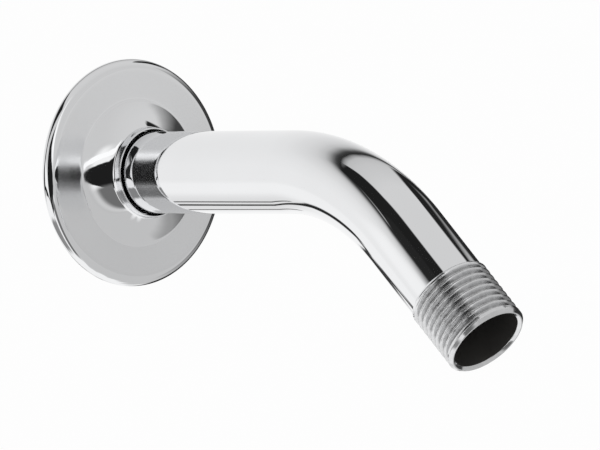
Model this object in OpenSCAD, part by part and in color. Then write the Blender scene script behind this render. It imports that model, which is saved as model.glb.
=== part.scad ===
// Wall-mounted shower arm: a bent tube threaded at both ends, a pressed flange
// that covers the hole in the wall, and the rubber ring that holds the flange
// on the tube. The origin is on the axis of the inlet run, in the plane of the
// finished wall. +X leaves the wall and +Z is up, so the arm bends down in XZ.

/* [Tube] */
// Outside diameter of the tube
tube_d = 20; // [18:0.1:22]
// Thickness of the tube's wall round the waterway
tube_wall = 1.2; // [1:0.05:2.5]
// Length of the straight run from the wall to the start of the bend
inlet_run = 62; // [40:0.5:250]
// Length of the inlet end that goes into the wall
inlet_stub = 12.9; // [8:0.1:16]
// Radius of the bend on the centre line
bend_r = 54.3; // [30:0.1:120]
// Angle of the bend below level
bend_angle = 45; // [15:1:75]
// Amount by which the bending draws the tube in, on the radius
bend_draw = 0.02; // [0.01:0.005:0.05]
// Length of the cone by which each straight run leads into the bend
bend_lead = 0.6; // [0.4:0.1:0.8]
// Length of the straight run from the bend to the outlet end
outlet_run = 34.8; // [22:0.1:120]

/* [Threads] */
// Height of the thread crests above the tube
thread_rise = 0.4775; // [0.4:0.0025:0.7]
// Distance from one thread to the next
thread_pitch = 1.814; // [1.5:0.002:2]
// Length of each threaded end, from its shoulder to the end face
thread_len = 16.7; // [12:0.1:20]
// Length of the cone from the tube up to the first crest
thread_shoulder = 0.3; // [0.3:0.1:1.5]
// Length of the plain land beyond the last thread
thread_land = 0.7; // [0.5:0.1:2]
// Width of the flat on each crest
crest_flat = 0.3; // [0.2:0.02:0.4]
// Length of the chamfer on the outside of each end
end_chamfer = 0.8; // [0.3:0.1:1.2]
// Width of the flat ring left at each end face
end_face_w = 0.3; // [0.1:0.05:0.4]
// Depth of the chamfer inside each mouth
mouth_chamfer = 0.6; // [0.2:0.1:1]

/* [Flange] */
// Outside diameter of the flange
flange_d = 55.6; // [50:0.1:75]
// Thickness of the pressed sheet
sheet_t = 0.4; // [0.3:0.05:0.6]
// Height of the straight edge that meets the wall
rim_edge = 0.15; // [0:0.05:0.6]
// Radius of the outer half of the rounded rim
rim_outer_r = 1.6; // [1.2:0.1:2.4]
// Radius of the inner half of the rounded rim
rim_inner_r = 3; // [1.5:0.1:4.5]
// Slope of the face, rising towards the hub
face_slope = 2.5; // [1:0.5:6]
// Radius at which the face turns up into the hub
hub_start_r = 18.4; // [16.5:0.1:20]
// Radius of the fillet between the face and the hub
hub_fillet_r = 3; // [1.5:0.1:4]
// Slope at the foot of the hub
hub_foot_slope = 24; // [15:1:32]
// Slope at the top of the hub
hub_top_slope = 41; // [38:1:55]
// Radius of the fillet between the hub and its collar
neck_fillet_r = 1.2; // [0.5:0.1:1.6]
// Length of the collar beyond that fillet
collar_len = 1.5; // [0.6:0.1:4]
// Radial clearance between the collar and the thread crests
collar_clearance = 0.07; // [0.03:0.01:0.2]

/* [Grip ring] */
// Thickness of the rubber ring
ring_section_d = 1.9; // [1.6:0.05:2.2]
// Radial clearance between the ring and the tube
ring_clearance = 0.05; // [0.02:0.01:0.1]
// Clearance between the ring and the inside of the hub
ring_seat_gap = 0.05; // [0.02:0.01:0.1]

/* [Hidden] */

// Facets round the tube and the flange, and steps along one arc of a profile
round_fn = 96;
arc_steps = 8;
// Slope at which the two radii of the rim meet, and the slope of an upright wall
rim_join_slope = 45;
upright = 90;
// Length by which a cutting shape runs past what it cuts
overrun = 1;
// Share of the pitch that a thread of this form is deep
depth_share = 0.64033;
// Half of the angle between two flanks
half_flank = 27.5;
// Step by which an opened mouth is wider than the thread roots
mouth_step = 0.15;

tube_r = tube_d / 2;
bore_r = tube_r - tube_wall;
// The lead cone ends this deep, well inside the drawn bend
lead_depth = 3 * bend_draw;
// The inlet run with its end that goes into the wall
inlet_len = inlet_run + inlet_stub;

// Thread form, seen along a cut through the axis
crest_r = tube_r + thread_rise;
thread_depth = depth_share * thread_pitch;
root_r = crest_r - thread_depth;
groove_top = thread_pitch - crest_flat;
groove_bottom = max(groove_top - 2 * thread_depth * tan(half_flank), 0.1);
thread_room = thread_len - thread_shoulder - crest_flat - thread_land - end_chamfer;
groove_count = floor(thread_room / thread_pitch);
// The first groove starts where all of them end exactly at the plain land
first_groove = thread_len - end_chamfer - thread_land - groove_count * thread_pitch;
mouth_r = root_r + mouth_step;
end_face_r = mouth_r + end_face_w;

// Flange collar, sized from the threads that it has to pass over
collar_bore_r = crest_r + collar_clearance;
collar_r = collar_bore_r + sheet_t;
neck_r = collar_r + neck_fillet_r * (1 - sin(hub_top_slope));

// A point on an arc of a profile: each profile point is [distance from the axis,
// distance along the axis], and a slope is the angle of the skin to the wall.
function skin_normal(slope) = [sin(slope), cos(slope)];
function arc_points(centre, radius, from, to) =
    [for (i = [0 : arc_steps]) centre + radius * skin_normal(from + (to - from) * i / arc_steps)];

// Centres of the arcs that make up the outer skin of the flange, rim first
flange_r = flange_d / 2;
rim_outer_c = [flange_r - rim_outer_r, rim_edge];
rim_inner_c = rim_outer_c + (rim_outer_r - rim_inner_r) * skin_normal(rim_join_slope);
face_start = rim_inner_c + rim_inner_r * skin_normal(face_slope);
face_end = [hub_start_r, face_start[1] + (face_start[0] - hub_start_r) * tan(face_slope)];
fillet_c = face_end + hub_fillet_r * skin_normal(face_slope);
hub_foot = fillet_c - hub_fillet_r * skin_normal(hub_foot_slope);
hub_r = (hub_foot[0] - neck_r) / (sin(hub_top_slope) - sin(hub_foot_slope));
hub_c = hub_foot + hub_r * skin_normal(hub_foot_slope);
neck = hub_c - hub_r * skin_normal(hub_top_slope);
neck_c = neck + neck_fillet_r * skin_normal(hub_top_slope);
collar_foot = neck_c[1];
collar_top = collar_foot + collar_len;
lip_r = sheet_t / 2;
lip_c = [collar_r - lip_r, collar_top - lip_r];

// The skin of the flange at a given depth below its outer skin, from the wall to
// the collar. A hollow arc grows with depth and a round one shrinks.
function flange_skin(depth) = concat(
    [[flange_r - depth, 0]],
    arc_points(rim_outer_c, rim_outer_r - depth, upright, rim_join_slope),
    arc_points(rim_inner_c, rim_inner_r - depth, rim_join_slope, face_slope),
    arc_points(fillet_c, -hub_fillet_r - depth, face_slope, hub_foot_slope),
    arc_points(hub_c, -hub_r - depth, hub_foot_slope, hub_top_slope),
    arc_points(neck_c, -neck_fillet_r - depth, hub_top_slope, upright)
);
function reversed(points) = [for (i = [len(points) - 1 : -1 : 0]) points[i]];

// The ring lies in the throat of the hub, against the inside of the hub's skin
ring_r = ring_section_d / 2;
ring_centre_r = tube_r + ring_clearance + ring_r;
ring_depth = hub_r + sheet_t + ring_seat_gap + ring_r;
ring_slope = asin((hub_c[0] - ring_centre_r) / ring_depth);
ring_x = hub_c[1] - ring_depth * cos(ring_slope);

// Turns what is modelled along +Z into the direction of the arm
module along_arm() {
    rotate([0, 90, 0]) children();
}

// Places what is modelled along +Z at the start of the bend, pointing to the inlet
module at_bend_start() {
    translate([inlet_run, 0, 0])
        rotate([0, -90, 0])
            children();
}

// Places what is modelled along +Z at the end of the bend, pointing to the outlet
module at_bend_end() {
    translate([inlet_run, 0, -bend_r])
        rotate([0, bend_angle, 0])
            translate([0, 0, bend_r])
                along_arm()
                    children();
}

// A round bar that follows the bend, drawn in a little from the straight runs
module bent_bar(radius) {
    translate([inlet_run, 0, -bend_r])
        rotate([0, -90, -90])
            rotate_extrude(angle = bend_angle, $fn = 4 * round_fn)
                translate([bend_r, 0])
                    circle(r = radius - bend_draw, $fn = round_fn);
}

// Outside of a straight run that starts at the bend: the cone that leads into the
// bend, the plain tube, then the thread with its shoulder, grooves, land and chamfer
module run_outside(length) {
    shoulder = length - thread_len;
    flank = (groove_top - groove_bottom) / 2;
    grooves = [
        for (i = [0 : groove_count - 1])
            let (at = shoulder + first_groove + i * thread_pitch)
                each [
                    [crest_r, at],
                    [root_r, at + flank],
                    [root_r, at + flank + groove_bottom],
                    [crest_r, at + groove_top]
                ]
    ];
    rotate_extrude($fn = round_fn)
        polygon(concat(
            [[0, -bend_lead], [tube_r - lead_depth, -bend_lead], [tube_r, 0], [tube_r, shoulder]],
            [[crest_r, shoulder + thread_shoulder]],
            grooves,
            [[crest_r, length - end_chamfer], [end_face_r, length], [0, length]]
        ));
}

// Inside of a straight run that starts at the bend: its lead cone, the bore, and
// the cone that opens its mouth
module run_inside(length) {
    rotate_extrude($fn = round_fn)
        polygon([
            [0, -bend_lead],
            [bore_r - lead_depth, -bend_lead],
            [bore_r, 0],
            [bore_r, length - mouth_chamfer],
            [mouth_r, length],
            [mouth_r, length + overrun],
            [0, length + overrun]
        ]);
}

// The bent tube with both of its threaded ends, one piece
module arm() {
    color("gainsboro")
        difference() {
            union() {
                at_bend_start()
                    run_outside(inlet_len);
                bent_bar(tube_r);
                at_bend_end()
                    run_outside(outlet_run);
            }
            union() {
                at_bend_start()
                    run_inside(inlet_len);
                bent_bar(bore_r);
                at_bend_end()
                    run_inside(outlet_run);
            }
        }
}

// The pressed flange: rounded rim, gently sloped face, flared hub and collar
module flange() {
    color("silver")
        along_arm()
            rotate_extrude($fn = 2 * round_fn)
                polygon(concat(
                    flange_skin(0),
                    arc_points(lip_c, lip_r, upright, -upright),
                    reversed(flange_skin(sheet_t))
                ));
}

// The rubber ring in the throat of the hub
module grip_ring() {
    color("dimgray")
        translate([ring_x, 0, 0])
            along_arm()
                rotate_extrude($fn = round_fn)
                    translate([ring_centre_r, 0])
                        circle(r = ring_r, $fn = round_fn / 2);
}

arm();
flange();
grip_ring();
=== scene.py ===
"""Shower arm: a bent, plated tube with a thread at both ends, the pressed flange
that covers the hole in the wall, and the rubber ring that holds the flange.
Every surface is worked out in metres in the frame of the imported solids."""

import math
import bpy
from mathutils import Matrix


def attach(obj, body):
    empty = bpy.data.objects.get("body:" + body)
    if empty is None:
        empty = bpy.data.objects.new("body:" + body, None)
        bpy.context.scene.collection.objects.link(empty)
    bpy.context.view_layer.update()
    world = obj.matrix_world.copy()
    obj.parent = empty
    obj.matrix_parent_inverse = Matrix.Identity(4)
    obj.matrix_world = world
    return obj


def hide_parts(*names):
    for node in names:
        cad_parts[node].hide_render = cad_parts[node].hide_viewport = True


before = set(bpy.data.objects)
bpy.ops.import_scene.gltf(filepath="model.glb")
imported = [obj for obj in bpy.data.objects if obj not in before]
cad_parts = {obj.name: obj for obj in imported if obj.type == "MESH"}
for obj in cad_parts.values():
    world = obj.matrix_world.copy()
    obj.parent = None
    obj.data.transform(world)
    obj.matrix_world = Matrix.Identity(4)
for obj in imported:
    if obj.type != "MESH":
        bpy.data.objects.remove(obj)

from types import SimpleNamespace

import bpy
import numpy as np
from bpy.props import (
    FloatProperty,
    FloatVectorProperty,
    IntProperty,
    PointerProperty,
)
from mathutils import Matrix

bl_info = {
    "name": "Shower arm",
    "version": (1, 0, 0),
    "blender": (4, 5, 0),
    "location": "3D View > Sidebar > Shower arm",
    "description": "Bent and threaded shower arm with its sliding wall flange",
    "category": "Object",
}

MM = 0.001

# Width and height of the picture, and where the part's origin lies in it, in pixels
PICTURE_W, PICTURE_H = 600, 450
ORIGIN_X, ORIGIN_Y = 131.7, 172.6

# Thread form: depth and crest radius in pitches, and half of the flank angle
THREAD_DEPTH = 0.640327
THREAD_ROUND = 0.137329
HALF_FLANK = math.radians(27.5)
# Where the groove fades: before and beyond the plain end, and short of the shoulder
FADE_BEFORE, FADE_BEYOND = 0.2 * MM, 0.7 * MM
FADE_START, FADE_STOP = 0.9 * MM, 0.1 * MM
# Share of its darkening and added roughness that a threaded end has even on its crests;
# the rest grows with the groove's depth, where the darkening is painted shade
DULL_CREST = 0.4

# Rows to one pitch of the thread, and the length of a row elsewhere on the tube
PITCH_ROWS = 18
TUBE_ROW = 1.6 * MM
# Length of fine rows beyond each thread
FINE_MARGIN = 1.0 * MM
# A point this far above a radius no longer lies on it
OFF_SKIN = 0.2 * MM
OFF_BORE = 0.02 * MM
# Step by which an opened mouth is wider than the thread roots
MOUTH_STEP = 0.15 * MM
# A step this far back along the arm starts another stretch of the loop, and a
# step no longer than NO_STEP lies between two points that coincide
JUMP_BACK = 2 * MM
NO_STEP = 1e-8
# Share of its shorter side that a rounded corner may take
CORNER_SHARE = 0.45

# Longest row of the flange
FLANGE_ROW = 0.6 * MM
# The satin begins this far inside the hub's start, is full this far beyond it, and
# fades over the last length before the rim
SATIN_BEFORE, SATIN_BEYOND, SATIN_RIM = 3.5 * MM, 1.5 * MM, 0.7 * MM
# Faces round the ring's section and round the tube
RING_ROWS, RING_COLUMNS = 36, 96

# Edges sharper than these angles, in degrees, are kept sharp
TUBE_SHARP, FLANGE_SHARP = 28, 30

# Half the width of the floor, and the share of it that is its own white
FLOOR_HALF = 30.0
FLOOR_WHITE = 0.92
# Strength of the surround as a light and where it is seen
SURROUND_LIGHT, SURROUND_SEEN = 0.95, 1.0
LAMP_SIZE = (0.9, 0.7)
LAMP_PLACE = (0.05, -0.1, 0.95)
# Faces along each side of a reflected sheet, and the gap from one to the next
SHEET_STEPS = 48
SHEET_GAP = 4 * MM


def length(name, description, millimetres):
    """A size that a user can change, given in millimetres and kept in metres."""
    return FloatProperty(
        name=name,
        description=description,
        default=millimetres * MM,
        subtype="DISTANCE",
        unit="LENGTH",
        precision=5,
    )


def turn(name, description, degrees):
    """An angle that a user can change, given in degrees."""
    return FloatProperty(
        name=name,
        description=description,
        default=math.radians(degrees),
        subtype="ANGLE",
        unit="ROTATION",
    )


def share(name, description, value):
    """A plain number from 0 to 1."""
    return FloatProperty(
        name=name,
        description=description,
        default=value,
        min=0.0,
        max=1.0,
        subtype="FACTOR",
    )


def colour(name, description, value):
    """A linear colour."""
    return FloatVectorProperty(
        name=name,
        description=description,
        default=value,
        size=3,
        min=0.0,
        max=1.0,
        subtype="COLOR",
    )


class TubeSizes(bpy.types.PropertyGroup):
    """Sizes of the bent tube and its threads"""

    tube_d: length("Tube diameter", "Outside diameter of the tube", 20.0)
    bore_d: length("Bore diameter", "Diameter of the waterway", 17.6)
    inlet_run: length("Inlet run", "Straight length from the wall to the bend", 62.0)
    inlet_stub: length("Inlet stub", "Length of the end that goes into the wall", 12.9)
    bend_r: length("Bend radius", "Radius of the bend on the centre line", 54.3)
    bend_angle: turn("Bend angle", "Angle of the bend below level", 45.0)
    outlet_run: length("Outlet run", "Straight length from the bend to the end", 34.8)
    thread_d: length("Thread diameter", "Diameter over the thread crests", 20.955)
    pitch: length("Thread pitch", "Distance from one turn to the next", 1.814)
    thread_len: length("Thread length", "From the shoulder to the end face", 16.7)
    shoulder: length("Shoulder", "Length of the rise from tube to crest", 0.45)
    land: length("Land", "Plain length beyond the last turn", 0.7)
    end_chamfer: length("End chamfer", "Length of the outside chamfer", 0.8)
    mouth_chamfer: length("Mouth chamfer", "Depth of the inside chamfer", 0.6)
    end_face_w: length("End face", "Width of the flat ring at the end", 0.3)
    edge_r: length("Edge radius", "Rounding of the end's edges", 0.09)
    columns: IntProperty(
        name="Columns", description="Faces round the tube", default=144, min=24
    )


class FlangeSizes(bpy.types.PropertyGroup):
    """Sizes of the pressed flange, as profile arcs from the rim to the collar"""

    flange_d: length("Flange diameter", "Outside diameter of the flange", 55.6)
    sheet_t: length("Sheet", "Thickness of the pressed sheet", 0.4)
    rim_edge: length("Rim edge", "Straight edge that meets the wall", 0.015)
    rim_outer_r: length("Rim outer radius", "Outer part of the rim", 1.4)
    rim_middle_r: length("Rim middle radius", "Middle part of the rim", 3.0)
    rim_inner_r: length("Rim inner radius", "Turn of the rim into the face", 3.0)
    rim_outer_slope: turn("Rim outer slope", "Slope where the rim flattens", 58.0)
    rim_inner_slope: turn("Rim inner slope", "Slope where it turns again", 38.0)
    face_slope: turn("Face slope", "Rise of the face towards the hub", 2.5)
    hub_start_r: length("Hub start", "Radius where the hub begins", 18.4)
    hub_fillet_r: length("Hub fillet", "Fillet between face and hub", 3.0)
    hub_foot_slope: turn("Hub foot slope", "Slope at the foot of the hub", 24.0)
    hub_top_slope: turn("Hub top slope", "Slope at the top of the hub", 41.0)
    neck_fillet_r: length("Neck fillet", "Fillet between hub and collar", 1.2)
    collar_len: length("Collar length", "Length of the collar beyond it", 1.5)
    collar_clearance: length("Collar clearance", "Gap to the thread crests", 0.07)
    columns: IntProperty(
        name="Columns", description="Faces round the flange", default=192, min=24
    )


class RingSizes(bpy.types.PropertyGroup):
    """Sizes of the rubber ring in the throat of the hub"""

    section_d: length("Section", "Thickness of the rubber ring", 1.9)
    clearance: length("Clearance", "Gap between the ring and the tube", 0.05)
    seat_gap: length("Seat gap", "Gap between the ring and the hub", 0.05)


class Finishes(bpy.types.PropertyGroup):
    """Colours and polish of the three finishes"""

    plate: colour("Plate", "Colour of the chrome plate", (0.885, 0.89, 0.9))
    plate_rough: share("Plate roughness", "Roughness of the polished plate", 0.03)
    satin_rough: share("Satin roughness", "Roughness of the flange's face", 0.13)
    thread_rough: share("Thread roughness", "Added down in a thread", 0.3)
    # A threaded end is mixed towards the groove colour by this share: somewhat over the
    # whole end, more with the groove's depth, where it is painted shade
    thread_dark_and_groove_shade: share("Thread shade", "Share of the groove colour", 0.55)
    groove: colour("Groove", "Colour down in a thread", (0.16, 0.155, 0.15))
    # Dark colour of the bore: partly bare metal, partly painted shade inside the tube
    inside: colour("Inside", "Colour of the bare metal inside", (0.12, 0.116, 0.11))
    inside_rough: share("Inside roughness", "Roughness of the bare bore", 0.55)
    rubber: colour("Rubber", "Colour of the ring", (0.018, 0.018, 0.019))
    rubber_rough: share("Rubber roughness", "Roughness of the ring", 0.62)


class Studio(bpy.types.PropertyGroup):
    """Camera, floor and light"""

    lens_px: FloatProperty(
        name="Focal length",
        description="Focal length in pixels of the picture",
        default=9590.0,
    )
    distance: length("Camera distance", "From the camera to the origin", 2343.0)
    azimuth: turn("Azimuth", "Camera's turn from the -Y side", 50.3207)
    elevation: turn("Elevation", "Camera's height above level", 5.8082)
    roll: turn("Roll", "Camera's turn about its own view", -6.8087)
    floor_z: length("Floor height", "Height of the floor", -950.0)
    key: FloatProperty(
        name="Key light", description="Power of the soft lamp", default=7.0
    )
    tent_r: length("Tent radius", "Distance of the reflected cards", 900.0)


# ---- Shapes


def arc(centre, radius, start, end, steps):
    """Points of a profile on an arc: centre plus radius times the skin normal,
    (sin slope, cos slope), as the slope goes from start to end."""
    slope = np.linspace(start, end, steps + 1)
    return centre + radius * np.stack([np.sin(slope), np.cos(slope)], -1)


def rounded(points, radius, steps=5):
    """A closed polygon with each corner turned into a quadratic Bezier curve. The
    curve leaves one side and joins the next at the radius from the corner, and
    the corner is its handle."""
    points = np.asarray(points, float)
    before = np.roll(points, 1, 0) - points
    after = np.roll(points, -1, 0) - points
    before_len = np.linalg.norm(before, axis=1, keepdims=True)
    after_len = np.linalg.norm(after, axis=1, keepdims=True)
    cut = np.minimum(radius, CORNER_SHARE * np.minimum(before_len, after_len))
    first = (points + before / before_len * cut)[:, None]
    last = (points + after / after_len * cut)[:, None]
    t = np.linspace(0, 1, steps + 1)[None, :, None]
    bent = (1 - t) ** 2 * first + 2 * t * (1 - t) * points[:, None] + t**2 * last
    return bent.reshape(-1, 2)


def spread(points, gap):
    """Fills the straight stretches of an open profile so that no two of its
    points lie further apart than the gap."""
    step = np.linalg.norm(np.diff(points, axis=0), axis=1)
    at = np.concatenate([[0], np.cumsum(step)])
    count = np.maximum(1, np.ceil(step / gap - 1e-6)).astype(int)
    start = np.repeat(at[:-1], count)
    size = np.repeat(step / count, count)
    number = np.arange(count.sum()) - np.repeat(np.cumsum(count) - count, count)
    want = np.append(start + size * number, at[-1])
    return np.stack([np.interp(want, at, points[:, i]) for i in range(2)], -1)


def smooth(low, high, value):
    """Smooth step: 0 below low, 1 above high, 3t^2 - 2t^3 between."""
    t = np.clip((value - low) / (high - low), 0, 1)
    return t * t * (3 - 2 * t)


def centre_line(distance, sizes):
    """Points and directions on the arm's centre line at distances from the wall:
    straight along +X, an arc that turns down by the bend angle, then straight."""
    bend = sizes.bend_r * sizes.bend_angle
    turned = np.clip((distance - sizes.inlet_run) / sizes.bend_r, 0, sizes.bend_angle)
    before = np.minimum(distance, sizes.inlet_run)
    beyond = np.maximum(distance - sizes.inlet_run - bend, 0)
    along = np.stack([np.cos(turned), 0 * turned, -np.sin(turned)], -1)
    x = before + sizes.bend_r * np.sin(turned) + beyond * along[..., 0]
    z = -sizes.bend_r * (1 - np.cos(turned)) + beyond * along[..., 2]
    return np.stack([x, 0 * x, z], -1), along


def round_line(distance, radius, angle, sizes):
    """Points at a radius and an angle round the centre line: the angle is counted
    from the upper side of the arm towards +Y."""
    point, along = centre_line(distance, sizes)
    upper = np.stack([-along[..., 2], 0 * along[..., 0], along[..., 0]], -1)
    side = np.array([0.0, 1.0, 0.0])
    normal = np.cos(angle)[..., None] * upper + np.sin(angle)[..., None] * side
    return point + radius[..., None] * normal


def thread_form(phase, pitch):
    """Depth below the crest at a phase of the thread, 0 at the crest and 0.5 at
    the root: two straight flanks at 27.5 degrees joined by round crests and
    roots of THREAD_ROUND pitches."""
    x = np.abs((phase + 0.5) % 1.0 - 0.5) * pitch
    r = THREAD_ROUND * pitch
    slope = 1 / math.tan(HALF_FLANK)
    tangent = r * math.sin(math.atan(slope))
    drop = r * (1 - math.cos(math.atan(slope)))
    full = THREAD_DEPTH * pitch
    far = pitch / 2 - x
    crest = r - np.sqrt(np.maximum(r * r - np.minimum(x, tangent) ** 2, 0))
    root = full - r + np.sqrt(np.maximum(r * r - np.minimum(far, tangent) ** 2, 0))
    flank = drop + (x - tangent) * slope
    return np.where(x < tangent, crest, np.where(far < tangent, root, flank)), full


def revolved(profile, columns):
    """The profile, (radius, height along the arm), carried round the X axis."""
    angle = np.linspace(0, 2 * np.pi, columns, endpoint=False)
    radius = profile[:, None, 0]
    x = profile[:, None, 1] + 0 * angle
    return np.stack([x, radius * np.cos(angle), radius * np.sin(angle)], -1)


def closed_surface(name, points, sharp=None, zones=None, fields=None):
    """A piece from a grid of points, [row, column, xyz], closed both ways round.
    Its faces are turned outwards by the sign of the volume that they enclose."""
    rows, columns = points.shape[:2]
    index = np.arange(rows * columns).reshape(rows, columns)
    below = np.roll(index, -1, 0)
    quads = np.stack([index, below, np.roll(below, -1, 1), np.roll(index, -1, 1)], -1)
    quads = quads.reshape(-1, 4)
    flat = points.reshape(-1, 3)
    a, b, c, d = (flat[quads[:, i]] for i in range(4))
    volume = np.einsum("ij,ij->", a, np.cross(b, c)) + np.einsum(
        "ij,ij->", a, np.cross(c, d)
    )
    if volume < 0:
        quads = quads[:, ::-1]
    mesh = bpy.data.meshes.new(name)
    mesh.from_pydata(flat.tolist(), [], quads.tolist())
    mesh.polygons.foreach_set("use_smooth", np.ones(len(quads), bool))
    if zones is not None:
        mesh.polygons.foreach_set(
            "material_index", np.repeat(zones, columns).astype(np.int32)
        )
    for field, values in (fields or {}).items():
        layer = mesh.attributes.new(field, "FLOAT", "POINT")
        layer.data.foreach_set("value", values.astype(np.float32).ravel())
    if sharp:
        mesh.set_sharp_from_angle(angle=math.radians(sharp))
    mesh.update()
    piece = bpy.data.objects.new(name, mesh)
    bpy.context.scene.collection.objects.link(piece)
    return piece


def arm_profile(sizes, first, last):
    """A closed loop of (distance along the centre line, radius) rows: the outside,
    raised to the thread crests at both ends, then the mouths and the bore. Its
    rows lie close together over the threads and further apart elsewhere."""
    tube_r, bore_r = sizes.tube_d / 2, sizes.bore_d / 2
    crest_r = sizes.thread_d / 2
    root_r = crest_r - THREAD_DEPTH * sizes.pitch
    mouth_r = max(bore_r, root_r) + MOUTH_STEP
    face_r = mouth_r + sizes.end_face_w
    inner = first + sizes.thread_len
    outer = last - sizes.thread_len
    corners = [
        [first, face_r],
        [first + sizes.end_chamfer, crest_r],
        [inner - sizes.shoulder, crest_r],
        [inner, tube_r],
        [sizes.inlet_run, tube_r],
        [outer, tube_r],
        [outer + sizes.shoulder, crest_r],
        [last - sizes.end_chamfer, crest_r],
        [last, face_r],
        [last, mouth_r],
        [last - sizes.mouth_chamfer, bore_r],
        [first + sizes.mouth_chamfer, bore_r],
        [first, mouth_r],
    ]
    loop = rounded(corners, sizes.edge_r)
    loop = np.concatenate([loop, loop[:1]])

    def at_thread(rows):
        """True for the rows on the outside of a threaded end."""
        inlet, outlet = inner + FINE_MARGIN, outer - FINE_MARGIN
        near = (rows[:, 0] < inlet) | (rows[:, 0] > outlet)
        return near & (rows[:, 1] > bore_r + OFF_SKIN)

    fine = spread(loop, sizes.pitch / PITCH_ROWS)
    coarse = spread(loop, TUBE_ROW)
    fine, coarse = fine[at_thread(fine)], coarse[~at_thread(coarse)]
    if not len(fine):
        raise RuntimeError("the arm has no threaded end")
    outlet = fine[:, 0] > 0.5 * (first + last)
    bore = coarse[:, 1] < bore_r + OFF_SKIN
    inlet_end = fine[~outlet]
    cut = int(np.argmax(np.diff(inlet_end[:, 0]) < -JUMP_BACK)) + 1
    rows = np.concatenate(
        [inlet_end[:cut], coarse[~bore], fine[outlet], coarse[bore], inlet_end[cut:]]
    )
    step = np.linalg.norm(np.diff(rows, axis=0, append=rows[:1]), axis=1)
    return rows[step > NO_STEP]


def arm_surface(sizes):
    """The arm's profile carried round its centre line, the finish of each row (1
    for the bare bore) and how dark and rough each point is: somewhat over a
    threaded end and more with the groove's depth, where the darkening is painted
    shade. A groove cuts each thread to the depth of the thread form at the phase
    distance / pitch + angle / full turn, which is a right-hand helix, and fades at
    the shoulder and at the land."""
    tube_r, bore_r = sizes.tube_d / 2, sizes.bore_d / 2
    first = -sizes.inlet_stub
    last = sizes.inlet_run + sizes.bend_r * sizes.bend_angle + sizes.outlet_run
    rows = arm_profile(sizes, first, last)
    angle = np.linspace(0, 2 * np.pi, sizes.columns, endpoint=False)[None]
    distance, radius = rows[:, :1] + 0 * angle, rows[:, 1:] + 0 * angle
    depth, full = thread_form(distance / sizes.pitch + angle / (2 * np.pi), sizes.pitch)
    from_end = np.minimum(distance - first, last - distance)
    plain_end = sizes.end_chamfer + sizes.land
    reach = sizes.thread_len - sizes.shoulder
    end_zone = 1 - smooth(reach - FADE_START, reach - FADE_STOP, from_end)
    window = smooth(plain_end - FADE_BEFORE, plain_end + FADE_BEYOND, from_end)
    window *= end_zone
    window *= radius > tube_r + OFF_SKIN
    angle = angle + 0 * distance
    points = round_line(distance, radius - depth * window, angle, sizes)
    bare = (rows[:, 1] < bore_r + OFF_BORE).astype(int)
    # Darkening and added roughness: somewhat over the whole threaded end and more with
    # the groove's depth, where the darkening is painted shade
    dull_and_groove_shade = end_zone * (DULL_CREST + (1 - DULL_CREST) * depth * window / full)
    return points, bare, dull_and_groove_shade


def flange_skin(sizes, depth):
    """The flange's skin at a depth below its outside, from the wall to the
    collar: a round rim of three arcs, the sloping face, a fillet, the hollow flare
    of the hub and the neck fillet. A hollow arc grows with depth and a round one
    shrinks, so the sheet keeps its thickness. The places that other shapes need
    come with the points."""
    upright = math.radians(90)

    def normal(slope):
        return np.array([math.sin(slope), math.cos(slope)])

    rim_r = sizes.flange_d / 2
    join_1, join_2 = sizes.rim_outer_slope, sizes.rim_inner_slope
    outer_c = np.array([rim_r - sizes.rim_outer_r, sizes.rim_edge])
    middle_c = outer_c + (sizes.rim_outer_r - sizes.rim_middle_r) * normal(join_1)
    inner_c = middle_c + (sizes.rim_middle_r - sizes.rim_inner_r) * normal(join_2)
    face_start = inner_c + sizes.rim_inner_r * normal(sizes.face_slope)
    rise = (face_start[0] - sizes.hub_start_r) * math.tan(sizes.face_slope)
    face_end = np.array([sizes.hub_start_r, face_start[1] + rise])
    fillet_c = face_end + sizes.hub_fillet_r * normal(sizes.face_slope)
    foot = fillet_c - sizes.hub_fillet_r * normal(sizes.hub_foot_slope)
    bore_r = collar_bore(sizes)
    collar_r = bore_r + sizes.sheet_t
    neck_r = collar_r + sizes.neck_fillet_r * (1 - math.sin(sizes.hub_top_slope))
    turned = math.sin(sizes.hub_top_slope) - math.sin(sizes.hub_foot_slope)
    hub_r = (foot[0] - neck_r) / turned
    hub_c = foot + hub_r * normal(sizes.hub_foot_slope)
    neck = hub_c - hub_r * normal(sizes.hub_top_slope)
    neck_c = neck + sizes.neck_fillet_r * normal(sizes.hub_top_slope)
    skin = [
        np.array([[rim_r - depth, 0.0]]),
        arc(outer_c, sizes.rim_outer_r - depth, upright, join_1, 12),
        arc(middle_c, sizes.rim_middle_r - depth, join_1, join_2, 8)[1:],
        arc(inner_c, sizes.rim_inner_r - depth, join_2, sizes.face_slope, 14)[1:],
        arc(
            fillet_c,
            -sizes.hub_fillet_r - depth,
            sizes.face_slope,
            sizes.hub_foot_slope,
            12,
        ),
        arc(hub_c, -hub_r - depth, sizes.hub_foot_slope, sizes.hub_top_slope, 28)[1:],
        arc(neck_c, -sizes.neck_fillet_r - depth, sizes.hub_top_slope, upright, 14)[1:],
    ]
    return SimpleNamespace(
        points=np.concatenate(skin),
        foot=neck_c[1],
        collar_r=collar_r,
        hub_c=hub_c,
        hub_r=hub_r,
        face_r=face_start[0],
    )


def collar_bore(sizes):
    """The collar passes over the thread crests with its clearance."""
    tube = bpy.context.scene.arm_tube
    return max(tube.tube_d, tube.thread_d) / 2 + sizes.collar_clearance


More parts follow.
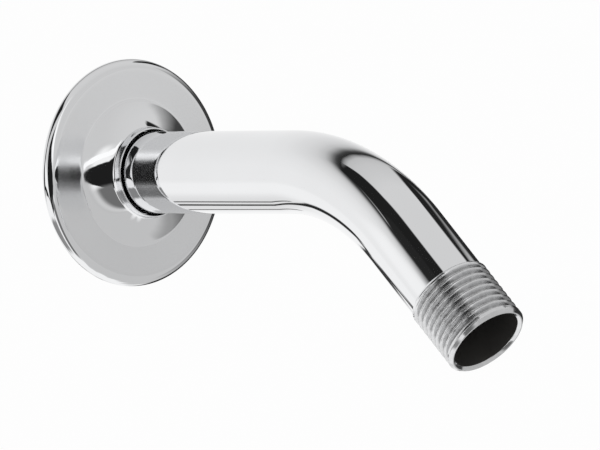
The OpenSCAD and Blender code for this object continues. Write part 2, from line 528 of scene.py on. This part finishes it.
def flange_surface(sizes):
    """Outside skin, rounded lip of the collar and inside skin, round the X axis,
    and how satin each point is: the flat face between the hub and the rim."""
    outside = flange_skin(sizes, 0.0)
    inside = flange_skin(sizes, sizes.sheet_t)
    lip_r = sizes.sheet_t / 2
    lip_x = outside.foot + sizes.collar_len - lip_r
    lip_c = np.array([outside.collar_r - lip_r, lip_x])
    lip = arc(lip_c, lip_r, math.pi / 2, -math.pi / 2, 10)
    loop = np.concatenate([outside.points, lip, inside.points[::-1]])
    profile = spread(loop, FLANGE_ROW)
    hub, r = sizes.hub_start_r, profile[:, 0]
    satin = smooth(hub - SATIN_BEFORE, hub + SATIN_BEYOND, r)
    satin *= 1 - smooth(outside.face_r - SATIN_RIM, outside.face_r, r)
    return revolved(profile, sizes.columns), np.repeat(satin, sizes.columns)


def ring_surface(sizes, flange):
    """A torus in the throat of the hub, against the inside of the hub's skin."""
    skin = flange_skin(flange, 0.0)
    r = sizes.section_d / 2
    middle = bpy.context.scene.arm_tube.tube_d / 2 + sizes.clearance + r
    depth = skin.hub_r + flange.sheet_t + sizes.seat_gap + r
    x = skin.hub_c[1] - depth * math.cos(math.asin((skin.hub_c[0] - middle) / depth))
    around = np.linspace(0, 2 * np.pi, RING_ROWS, endpoint=False)
    section = np.stack([middle + r * np.cos(around), x + r * np.sin(around)], -1)
    return revolved(section, RING_COLUMNS)


# ---- Materials


class Nodes:
    """Adds nodes to a material or a world and joins them, so that a finish reads
    as a list."""

    def __init__(self, owner):
        self.owner = owner
        owner.use_nodes = True
        self.tree = owner.node_tree
        self.tree.nodes.clear()

    def add(self, kind, **values):
        """A node with its properties set by name and its inputs by number or name."""
        node = self.tree.nodes.new(kind)
        inputs = values.pop("inputs", {})
        for key, value in values.items():
            setattr(node, key, value)
        for key, value in inputs.items():
            if isinstance(value, bpy.types.NodeSocket):
                self.tree.links.new(value, node.inputs[key])
            else:
                node.inputs[key].default_value = value
        return node

    def noise(self, scale, detail=3.0, stretch=(1, 1, 1)):
        """Noise on the object's own coordinates."""
        where = self.add("ShaderNodeTexCoord").outputs["Object"]
        moved = self.add(
            "ShaderNodeMapping", inputs={"Vector": where, "Scale": stretch}
        )
        return self.add(
            "ShaderNodeTexNoise",
            inputs={"Vector": moved.outputs[0], "Scale": scale, "Detail": detail},
        ).outputs["Fac"]

    def ranged(self, value, low, high, start=0.3, end=0.7):
        """The value from start to end, turned into low to high."""
        return self.add(
            "ShaderNodeMapRange",
            inputs={0: value, 1: start, 2: end, 3: low, 4: high},
        ).outputs[0]

    def maths(self, operation, a, b):
        """Two values joined by one operation."""
        return self.add(
            "ShaderNodeMath", operation=operation, inputs={0: a, 1: b}
        ).outputs[0]

    def tinted(self, factor, dark, light):
        """A colour between two."""
        mix = self.add("ShaderNodeMix", data_type="RGBA")
        self.tree.links.new(factor, mix.inputs[0])
        mix.inputs[6].default_value = (*dark, 1)
        mix.inputs[7].default_value = (*light, 1)
        return mix.outputs[2]

    def point_value(self, name):
        """A value that the piece's mesh holds for each point."""
        return self.add(
            "ShaderNodeAttribute", attribute_type="GEOMETRY", attribute_name=name
        ).outputs["Fac"]

    def surface(self, shader, output="ShaderNodeOutputMaterial"):
        """Ends the material or the world in one shader."""
        out = self.add(output)
        self.tree.links.new(shader.outputs[0], out.inputs["Surface"])
        return self.owner

    def finished(self, base, rough, height, strength, distance, metallic=0.0):
        """Ends the material in a principled surface with a bump."""
        bump = self.add(
            "ShaderNodeBump",
            inputs={"Strength": strength, "Distance": distance, "Height": height},
        )
        shader = self.add(
            "ShaderNodeBsdfPrincipled",
            inputs={
                "Base Color": base,
                "Metallic": metallic,
                "Roughness": rough,
                "Normal": bump.outputs[0],
            },
        )
        return self.surface(shader)


def new_nodes(name):
    """The empty node tree of a new material."""
    return Nodes(bpy.data.materials.new(name))


def plate_finish(name, finish, threaded):
    """Polished chrome plate: a bright metal with a faint polishing haze and the
    slight unevenness of plated metal. It is duller and darker on a threaded end,
    darkest down in the grooves, which is painted shade, and satin on the
    flange's face."""
    n = new_nodes(name)
    haze = n.noise(scale=260, detail=4)
    rough = n.ranged(haze, finish.plate_rough * 0.7, finish.plate_rough * 1.5)
    light = tuple(finish.plate)
    base = n.tinted(n.noise(scale=60, detail=2), [0.965 * c for c in light], light)
    if threaded:
        wear = n.ranged(n.noise(scale=900, detail=4), 0.55, 1.0)
        wear_and_groove_shade = n.maths("MULTIPLY", n.point_value("groove"), wear)
        added = n.maths("MULTIPLY", wear_and_groove_shade, finish.thread_rough)
        # The threaded end mixed towards the groove colour: a little all over with
        # random wear, most in the grooves as painted shade
        shade = n.add("ShaderNodeMix", data_type="RGBA", blend_type="MIX")
        n.tree.links.new(n.maths("MULTIPLY", wear_and_groove_shade, finish.thread_dark_and_groove_shade), shade.inputs[0])
        n.tree.links.new(base, shade.inputs[6])
        shade.inputs[7].default_value = (*finish.groove, 1)
        base = shade.outputs[2]
    else:
        grain = n.ranged(n.noise(scale=420, detail=4), 0.85, 1.15)
        satin = n.maths("MULTIPLY", n.point_value("satin"), grain)
        added = n.maths("MULTIPLY", satin, finish.satin_rough)
    rough = n.maths("ADD", rough, added)
    waves = n.noise(scale=170, detail=2)
    return n.finished(base, rough, waves, 0.05, 0.02 * MM, metallic=1.0)


def bore_metal_and_shade_finish(name, finish):
    """Drawn metal inside the tube: rough and dark, partly as bare metal and partly as
    painted shade of the bore, with faint draw lines along the bore and a mottled stain."""
    n = new_nodes(name)
    along = (0.1, 1, 1)
    light = tuple(finish.inside)
    base = n.tinted(n.noise(scale=140, detail=5), [0.55 * c for c in light], light)
    lines = n.noise(scale=500, detail=3, stretch=along)
    rough = n.ranged(lines, finish.inside_rough - 0.12, finish.inside_rough)
    waves = n.noise(scale=900, detail=2, stretch=along)
    return n.finished(base, rough, waves, 0.25, 0.05 * MM, metallic=0.7)


def rubber_finish(name, finish):
    """Moulded black rubber with a fine grain and a little bloom."""
    n = new_nodes(name)
    light = tuple(finish.rubber)
    base = n.tinted(n.noise(scale=700, detail=4), light, [1.9 * c for c in light])
    bloom = n.noise(scale=400, detail=3)
    rough = n.ranged(bloom, finish.rubber_rough - 0.08, finish.rubber_rough + 0.12)
    grain = n.noise(scale=2600, detail=3)
    return n.finished(base, rough, grain, 0.3, 0.04 * MM)


# ---- Studio

# Directions round the object are given on a plan: degrees from straight up, laid
# out along +X and +Y, so that (0, 0) is overhead and 90 from it is level.
# The dark line down the middle of the large overhead panel, as points of the plan
BAND = (
    (14, -72),
    (6, -60),
    (-2, -46),
    (-10, -30),
    (-13.5, -18),
    (-14, -8),
    (-14.5, 0),
    (-14.7, 10),
    (-16, 20),
    (-17.2, 30),
    (-20.2, 40),
    (-23.5, 48),
    (-29, 58),
    (-36, 66),
    (-46, 72),
    (-60, 76),
)


def at(*ways):
    """Points of the plan from (azimuth from +X towards +Y, elevation)."""
    return [
        (
            (90 - height) * math.cos(math.radians(around)),
            (90 - height) * math.sin(math.radians(around)),
        )
        for around, height in ways
    ]


def strip(*path):
    """The two sides of a narrow sheet from (azimuth, elevation, half width)."""
    return tuple(
        at(*((around, height + side * half) for around, height, half in path))
        for side in (1, -1)
    )


def upright_strip(*path):
    """The same for a path that runs up and down: the half width lies across."""
    return tuple(
        at(*((around + side * half, height) for around, height, half in path))
        for side in (-1, 1)
    )


def patch(azimuths, elevations):
    """Lines at the elevations, each through the azimuths."""
    return tuple(
        at(*((around, height) for around in azimuths)) for height in elevations
    )


def plain(tone):
    """The same brightness all the way across."""
    return ((0.0, tone), (1.0, tone))


# Sheets that the polished metal reflects, each nearer than the one before: name,
# the lines that it runs through, its brightness at shares of the way across them,
# and the share over which each edge fades (first line, last line, start, end).
CARDS = (
    (
        "front",
        patch((-22, 0, 30, 60, 90, 112), (64, 30, 2, -6, -40, -76)),
        ((0.0, 0.65), (0.4, 0.65), (0.6, 0.59), (1.0, 0.59)),
        (0.05, 0.05, 0.07, 0.07),
    ),
    (
        "panel",
        (
            tuple((-98 + 0.004 * y * y, 1.1 * y) for _, y in BAND),
            BAND,
            tuple((60 - 0.004 * y * y, 1.1 * y) for _, y in BAND),
        ),
        (
            (0.0, 0.93),
            (0.2, 0.92),
            (0.286, 0.89),
            (0.345, 0.85),
            (0.405, 0.76),
            (0.429, 0.7),
            (0.452, 0.58),
            (0.464, 0.42),
            (0.476, 0.2),
            (0.486, 0.06),
            (0.5, 0.022),
            (0.511, 0.3),
            (0.525, 0.56),
            (0.555, 0.62),
            (0.6, 0.655),
            (0.66, 0.71),
            (0.78, 0.7),
            (1.0, 0.65),
        ),
        (0.05, 0.15, 0.04, 0.04),
    ),
    (
        "wedge",
        (
            (
                (14, 44),
                (-0.2, 45.4),
                (-6.3, 47),
                (-12.5, 49.8),
                (-17, 51.6),
                (-23, 54.4),
                (-31, 63.8),
                (-43, 70.7),
                (-54, 74),
            ),
            (
                (15, 47),
                (7, 55),
                (-1, 62),
                (-9, 68),
                (-15, 72.5),
                (-25.5, 77),
                (-36, 79.5),
                (-46, 80),
                (-56, 79),
            ),
        ),
        plain(0.016),
        (0.2, 0.15, 0.06, 0.05),
    ),
    (
        "right_dark",
        patch((60, 70, 80, 90, 100, 108), (30, 20, 8, -6, -18, -34, -50)),
        (
            (0.0, 0.5),
            (0.17, 0.38),
            (0.3, 0.06),
            (0.5, 0.02),
            (0.67, 0.06),
            (0.8, 0.34),
            (1.0, 0.4),
        ),
        (0.18, 0.18, 0.12, 0.15),
    ),
    (
        "right_low",
        (
            at((96, 26), (104, 22), (112, 14), (124, 2), (139, -4)),
            at((96, 8), (104, 4), (112, 0), (124, -8), (139, -20)),
            at((100, -20), (105, -20), (112, -20), (124, -24), (139, -30)),
            at((100, -55), (105, -55), (112, -55), (124, -55), (139, -55)),
        ),
        plain(0.02),
        (0.06, 0.1, 0.25, 0.05),
    ),
    (
        "blob",
        (
            ((-15, -9), (-4, -11), (2, -14), (10.5, -18.3), (18, -20), (27, -22)),
            ((-16, -24), (-11, -32), (-5, -40), (1, -49), (7, -59), (13, -57)),
        ),
        plain(0.014),
        (0.08, 0.1, 0.1, 0.06),
    ),
    (
        "camera_side",
        (
            at(
                (-38, 40),
                (-36, 30),
                (-34, 22),
                (-28, 15.5),
                (-22, 10),
                (-15, 5),
                (-9, 0),
            ),
            at(
                (-57, 28),
                (-57, 5),
                (-56, -28),
                (-38, -18),
                (-30, -13),
                (-20, -8),
                (-11, -4),
            ),
        ),
        plain(0.014),
        (0.04, 0.04, 0.0, 0.03),
    ),
    (
        "stripe",
        upright_strip(
            (-9.5, 1, 1.5),
            (-10, 6, 3),
            (-15.5, 11, 3.6),
            (-20, 17, 4),
            (-25, 24, 4.2),
            (-29, 32, 4.4),
            (-29, 42, 4.6),
            (-22, 50, 5),
            (-8, 58, 6),
        ),
        plain(1.12),
        (0.12, 0.2, 0.1, 0.1),
    ),
    (
        "low_front",
        patch((-44, -36, -28, -22, -12), (-9, -30, -64)),
        plain(0.17),
        (0.15, 0.15, 0.05, 0.5),
    ),
    (
        "low_back",
        patch((138, 160, 180, 200, 218), (-26, -36, -62)),
        plain(0.76),
        (0.9, 0.1, 0.3, 0.3),
    ),
    (
        "left_dark",
        (
            at(
                (-83, 47),
                (-88, 37),
                (-94, 28),
                (-104, 15),
                (-119, 0),
                (-126, -12),
                (-122, -30),
            ),
            at(
                (-70, 47),
                (-74, 38),
                (-77, 30),
                (-82, 15),
                (-85, 0),
                (-82, -12),
                (-46, -26),
            ),
        ),
        plain(0.02),
        (0.3, 0.06, 0.06, 0.06),
    ),
    (
        "low_left",
        patch((-132, -112, -92, -72, -50), (-28, -38, -50, -66)),
        plain(0.28),
        (0.2, 0.2, 0.12, 0.12),
    ),
    (
        "face_tone",
        patch((12, 25, 40, 50, 58), (16, 6, -2, -10, -22)),
        ((0.0, 0.68), (0.4, 0.68), (0.6, 0.6), (0.8, 0.54), (1.0, 0.56)),
        (0.2, 0.25, 0.2, 0.2),
    ),
    (
        "low_line",
        upright_strip(
            (174.5, -52, 3),
            (175, -42, 4),
            (180, -36, 4.5),
            (188, -31, 6),
            (190, -27.5, 7),
            (190, -24, 8),
            (190, -21.5, 7),
        ),
        plain(0.02),
        (0.25, 0.25, 0.08, 0.08),
    ),
    (
        "edge_line",
        strip(
            (186, -22.2, 1.2),
            (180, -21.6, 1),
            (175, -21, 0.5),
            (169, -20.2, 1.3),
            (162, -18.8, 1.8),
            (155, -16.8, 1.6),
            (148, -14, 0.8),
        ),
        plain(0.04),
        (0.3, 0.3, 0.1, 0.1),
    ),
    (
        "thin_line",
        upright_strip((186, -52, 2), (187, -42, 2.6), (188, -35, 1.6)),
        plain(0.1),
        (0.3, 0.3, 0.05, 0.1),
    ),
    (
        "outer_line",
        upright_strip((156, -46, 1.6), (157, -36, 2.4), (158, -29, 1.6)),
        plain(0.06),
        (0.3, 0.3, 0.1, 0.1),
    ),
)


def plan_way(points):
    """Directions, one for each point of the plan."""
    points = np.asarray(points, float)
    down = np.radians(np.hypot(points[..., 0], points[..., 1]))
    around = np.arctan2(points[..., 1], points[..., 0])
    return np.stack(
        [np.sin(down) * np.cos(around), np.sin(down) * np.sin(around), np.cos(down)], -1
    )


def resampled(lines, axis):
    """The lines at even steps along one axis, straight from point to point."""
    known = np.arange(lines.shape[axis])
    wanted = np.linspace(0, known[-1], SHEET_STEPS + 1)
    return np.apply_along_axis(lambda line: np.interp(wanted, known, line), axis, lines)


def card_finish(name, ramp, soft):
    """A plain glow that follows the ramp across the sheet and turns clear towards
    each edge that is soft."""
    n = new_nodes(name)
    where = n.add("ShaderNodeUVMap", uv_map="sheet").outputs[0]
    split = n.add("ShaderNodeSeparateXYZ", inputs={0: where})
    across, along = split.outputs[0], split.outputs[1]
    from_edges = (
        across,
        n.maths("SUBTRACT", 1.0, across),
        along,
        n.maths("SUBTRACT", 1.0, along),
    )
    cover = None
    for distance, width in zip(from_edges, soft):
        if width:
            edge = n.add(
                "ShaderNodeMapRange",
                interpolation_type="SMOOTHSTEP",
                inputs={0: distance, 1: 0.0, 2: width, 3: 0.0, 4: 1.0},
            ).outputs[0]
            cover = edge if cover is None else n.maths("MULTIPLY", cover, edge)
    tones = n.add("ShaderNodeValToRGB", inputs={0: across})
    stops = tones.color_ramp.elements
    while len(stops) < len(ramp):
        stops.new(0.5)
    for stop, (place, tone) in zip(stops, ramp):
        stop.position = place
        stop.color = (tone, tone, tone, 1)
    clear = n.add("ShaderNodeBsdfTransparent")
    glow = n.add("ShaderNodeEmission", inputs={"Color": tones.outputs[0]})
    mix = n.add(
        "ShaderNodeMixShader",
        inputs={0: cover, 1: clear.outputs[0], 2: glow.outputs[0]},
    )
    return n.surface(mix)


def card(name, lines, ramp, soft, radius):
    """A sheet on a sphere round the object that only reflections see. Its grid runs
    along the lines of the plan and across from each of them to the next."""
    plan = resampled(resampled(np.array(lines, float), 1), 0).transpose(1, 0, 2)
    grid = radius * plan_way(plan)
    index = np.arange((SHEET_STEPS + 1) ** 2).reshape(SHEET_STEPS + 1, -1)
    quads = np.stack(
        [index[:-1, :-1], index[1:, :-1], index[1:, 1:], index[:-1, 1:]], -1
    ).reshape(-1, 4)
    mesh = bpy.data.meshes.new(name)
    mesh.from_pydata(grid.reshape(-1, 3).tolist(), [], quads.tolist())
    shares = np.linspace(0, 1, SHEET_STEPS + 1)
    along, across = np.meshgrid(shares, shares, indexing="ij")
    uv = np.stack([across, along], -1).reshape(-1, 2)[quads.ravel()]
    layer = mesh.uv_layers.new(name="sheet")
    layer.data.foreach_set("uv", uv.astype(np.float32).ravel())
    mesh.materials.append(card_finish(name, ramp, soft))
    sheet = bpy.data.objects.new(name, mesh)
    bpy.context.scene.collection.objects.link(sheet)
    sheet.visible_camera = False
    sheet.visible_diffuse = False
    sheet.visible_shadow = False
    sheet.visible_transmission = False


def seen_white(n):
    """1 for a ray from the camera, a reflection or a view through glass."""
    path = n.add("ShaderNodeLightPath")
    seen = n.maths(
        "MAXIMUM", path.outputs["Is Camera Ray"], path.outputs["Is Glossy Ray"]
    )
    return n.maths("MAXIMUM", seen, path.outputs["Is Transmission Ray"])


class SHOWER_OT_tube(bpy.types.Operator):
    """Builds the bent tube with its two threads"""

    bl_idname = "shower.tube"
    bl_label = "Bent tube"

    def execute(self, context):
        scene = context.scene
        points, bare, dull_and_groove_shade = arm_surface(scene.arm_tube)
        piece = closed_surface(
            "bent_tube", points, TUBE_SHARP, bare, {"groove": dull_and_groove_shade}
        )
        piece.data.materials.append(plate_finish("tube_plate", scene.arm_finish, True))
        piece.data.materials.append(bore_metal_and_shade_finish("tube_inside", scene.arm_finish))
        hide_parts("arm")
        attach(piece, "arm")
        return {"FINISHED"}


class SHOWER_OT_flange(bpy.types.Operator):
    """Builds the pressed flange"""

    bl_idname = "shower.flange"
    bl_label = "Wall flange"

    def execute(self, context):
        scene = context.scene
        points, satin = flange_surface(scene.arm_flange)
        piece = closed_surface(
            "wall_flange", points, FLANGE_SHARP, fields={"satin": satin}
        )
        piece.data.materials.append(
            plate_finish("flange_plate", scene.arm_finish, False)
        )
        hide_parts("flange")
        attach(piece, "flange")
        return {"FINISHED"}


class SHOWER_OT_ring(bpy.types.Operator):
    """Builds the rubber ring that holds the flange"""

    bl_idname = "shower.ring"
    bl_label = "Grip ring"

    def execute(self, context):
        scene = context.scene
        points = ring_surface(scene.arm_ring, scene.arm_flange)
        piece = closed_surface("rubber_ring", points)
        piece.data.materials.append(rubber_finish("black_rubber", scene.arm_finish))
        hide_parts("grip_ring")
        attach(piece, "grip")
        return {"FINISHED"}


class SHOWER_OT_studio(bpy.types.Operator):
    """Sets the floor, the light, the reflected cards and the camera"""

    bl_idname = "shower.studio"
    bl_label = "Studio"

    def execute(self, context):
        studio = context.scene.arm_studio
        self.floor(studio)
        self.light(context, studio)
        for layer, (name, lines, ramp, soft) in enumerate(CARDS):
            card(name, lines, ramp, soft, studio.tent_r - SHEET_GAP * layer)
        self.camera(context, studio)
        return {"FINISHED"}

    def floor(self, studio):
        """A wide pale floor: mostly its own white where it is seen, the rest lit,
        so that it keeps the shadow."""
        n = new_nodes("pale_floor")
        lit = n.add(
            "ShaderNodeBsdfDiffuse",
            inputs={
                "Color": n.tinted(n.noise(scale=9, detail=2), (0.84,) * 3, (0.88,) * 3)
            },
        )
        white = n.add("ShaderNodeEmission", inputs={"Color": (1, 1, 1, 1)})
        part = n.maths("MULTIPLY", seen_white(n), FLOOR_WHITE)
        mix = n.add(
            "ShaderNodeMixShader",
            inputs={0: part, 1: lit.outputs[0], 2: white.outputs[0]},
        )
        size, z = FLOOR_HALF, studio.floor_z
        mesh = bpy.data.meshes.new("floor")
        mesh.from_pydata(
            [(-size, -size, z), (size, -size, z), (size, size, z), (-size, size, z)],
            [],
            [(0, 1, 2, 3)],
        )
        mesh.materials.append(n.surface(mix))
        floor = bpy.data.objects.new("floor", mesh)
        bpy.context.scene.collection.objects.link(floor)

    def light(self, context, studio):
        """A white surround and one large soft lamp overhead."""
        world = bpy.data.worlds.new("surround")
        n = Nodes(world)
        strength = n.ranged(seen_white(n), SURROUND_LIGHT, SURROUND_SEEN, 0.0, 1.0)
        back = n.add(
            "ShaderNodeBackground",
            inputs={"Color": (1, 1, 1, 1), "Strength": strength},
        )
        context.scene.world = n.surface(back, "ShaderNodeOutputWorld")
        data = bpy.data.lights.new("soft_lamp", "AREA")
        data.shape = "RECTANGLE"
        data.size, data.size_y = LAMP_SIZE
        data.energy = studio.key
        lamp = bpy.data.objects.new("soft_lamp", data)
        lamp.location = LAMP_PLACE
        lamp.visible_glossy = False
        context.scene.collection.objects.link(lamp)

    def camera(self, context, studio):
        """A long lens at the measured place: the origin of the part lies left of
        and above the middle of the picture."""
        a, e, r = studio.azimuth, studio.elevation, studio.roll
        back = np.array(
            [math.sin(a) * math.cos(e), -math.cos(a) * math.cos(e), math.sin(e)]
        )
        level = np.array([math.cos(a), math.sin(a), 0.0])
        upper = np.cross(back, level)
        right = math.cos(r) * level + math.sin(r) * upper
        up = math.cos(r) * upper - math.sin(r) * level
        scale = studio.distance / studio.lens_px
        place = (
            (PICTURE_W / 2 - ORIGIN_X) * scale * right
            + (ORIGIN_Y - PICTURE_H / 2) * scale * up
            + studio.distance * back
        )
        data = bpy.data.cameras.new("camera")
        data.sensor_width = 36.0
        data.lens = studio.lens_px / PICTURE_W * data.sensor_width
        data.clip_start, data.clip_end = 0.05, 200.0
        camera = bpy.data.objects.new("camera", data)
        turned = np.eye(4)
        turned[:3, 0], turned[:3, 1], turned[:3, 2] = right, up, back
        turned[:3, 3] = place
        camera.matrix_world = Matrix(turned.tolist())
        context.scene.collection.objects.link(camera)
        context.scene.camera = camera


class SHOWER_PT_panel(bpy.types.Panel):
    """Lists the steps and their sizes in the sidebar"""

    bl_label = "Shower arm"
    bl_idname = "SHOWER_PT_panel"
    bl_space_type = "VIEW_3D"
    bl_region_type = "UI"
    bl_category = "Shower arm"

    def draw(self, context):
        for group, steps in STEPS.items():
            box = self.layout.box()
            for step in steps:
                box.operator(step)
            settings = getattr(context.scene, group)
            for name in settings.__annotations__:
                box.prop(settings, name)


GROUPS = {
    "arm_tube": TubeSizes,
    "arm_flange": FlangeSizes,
    "arm_ring": RingSizes,
    "arm_finish": Finishes,
    "arm_studio": Studio,
}
STEPS = {
    "arm_tube": ("shower.tube",),
    "arm_flange": ("shower.flange",),
    "arm_ring": ("shower.ring",),
    "arm_finish": (),
    "arm_studio": ("shower.studio",),
}
CLASSES = (
    *GROUPS.values(),
    SHOWER_OT_tube,
    SHOWER_OT_flange,
    SHOWER_OT_ring,
    SHOWER_OT_studio,
    SHOWER_PT_panel,
)


def register():
    """Registers the classes and gives the scene its settings."""
    for cls in CLASSES:
        bpy.utils.register_class(cls)
    for name, group in GROUPS.items():
        setattr(bpy.types.Scene, name, PointerProperty(type=group))


def unregister():
    """Takes the settings and the classes away again."""
    for name in GROUPS:
        delattr(bpy.types.Scene, name)
    for cls in reversed(CLASSES):
        bpy.utils.unregister_class(cls)


def main():
    """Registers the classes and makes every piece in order."""
    register()
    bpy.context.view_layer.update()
    view = bpy.context.scene.view_settings
    view.view_transform = "Standard"
    bpy.ops.shower.tube()
    bpy.ops.shower.flange()
    bpy.ops.shower.ring()
    bpy.ops.shower.studio()


if __name__ == "__main__":
    main()
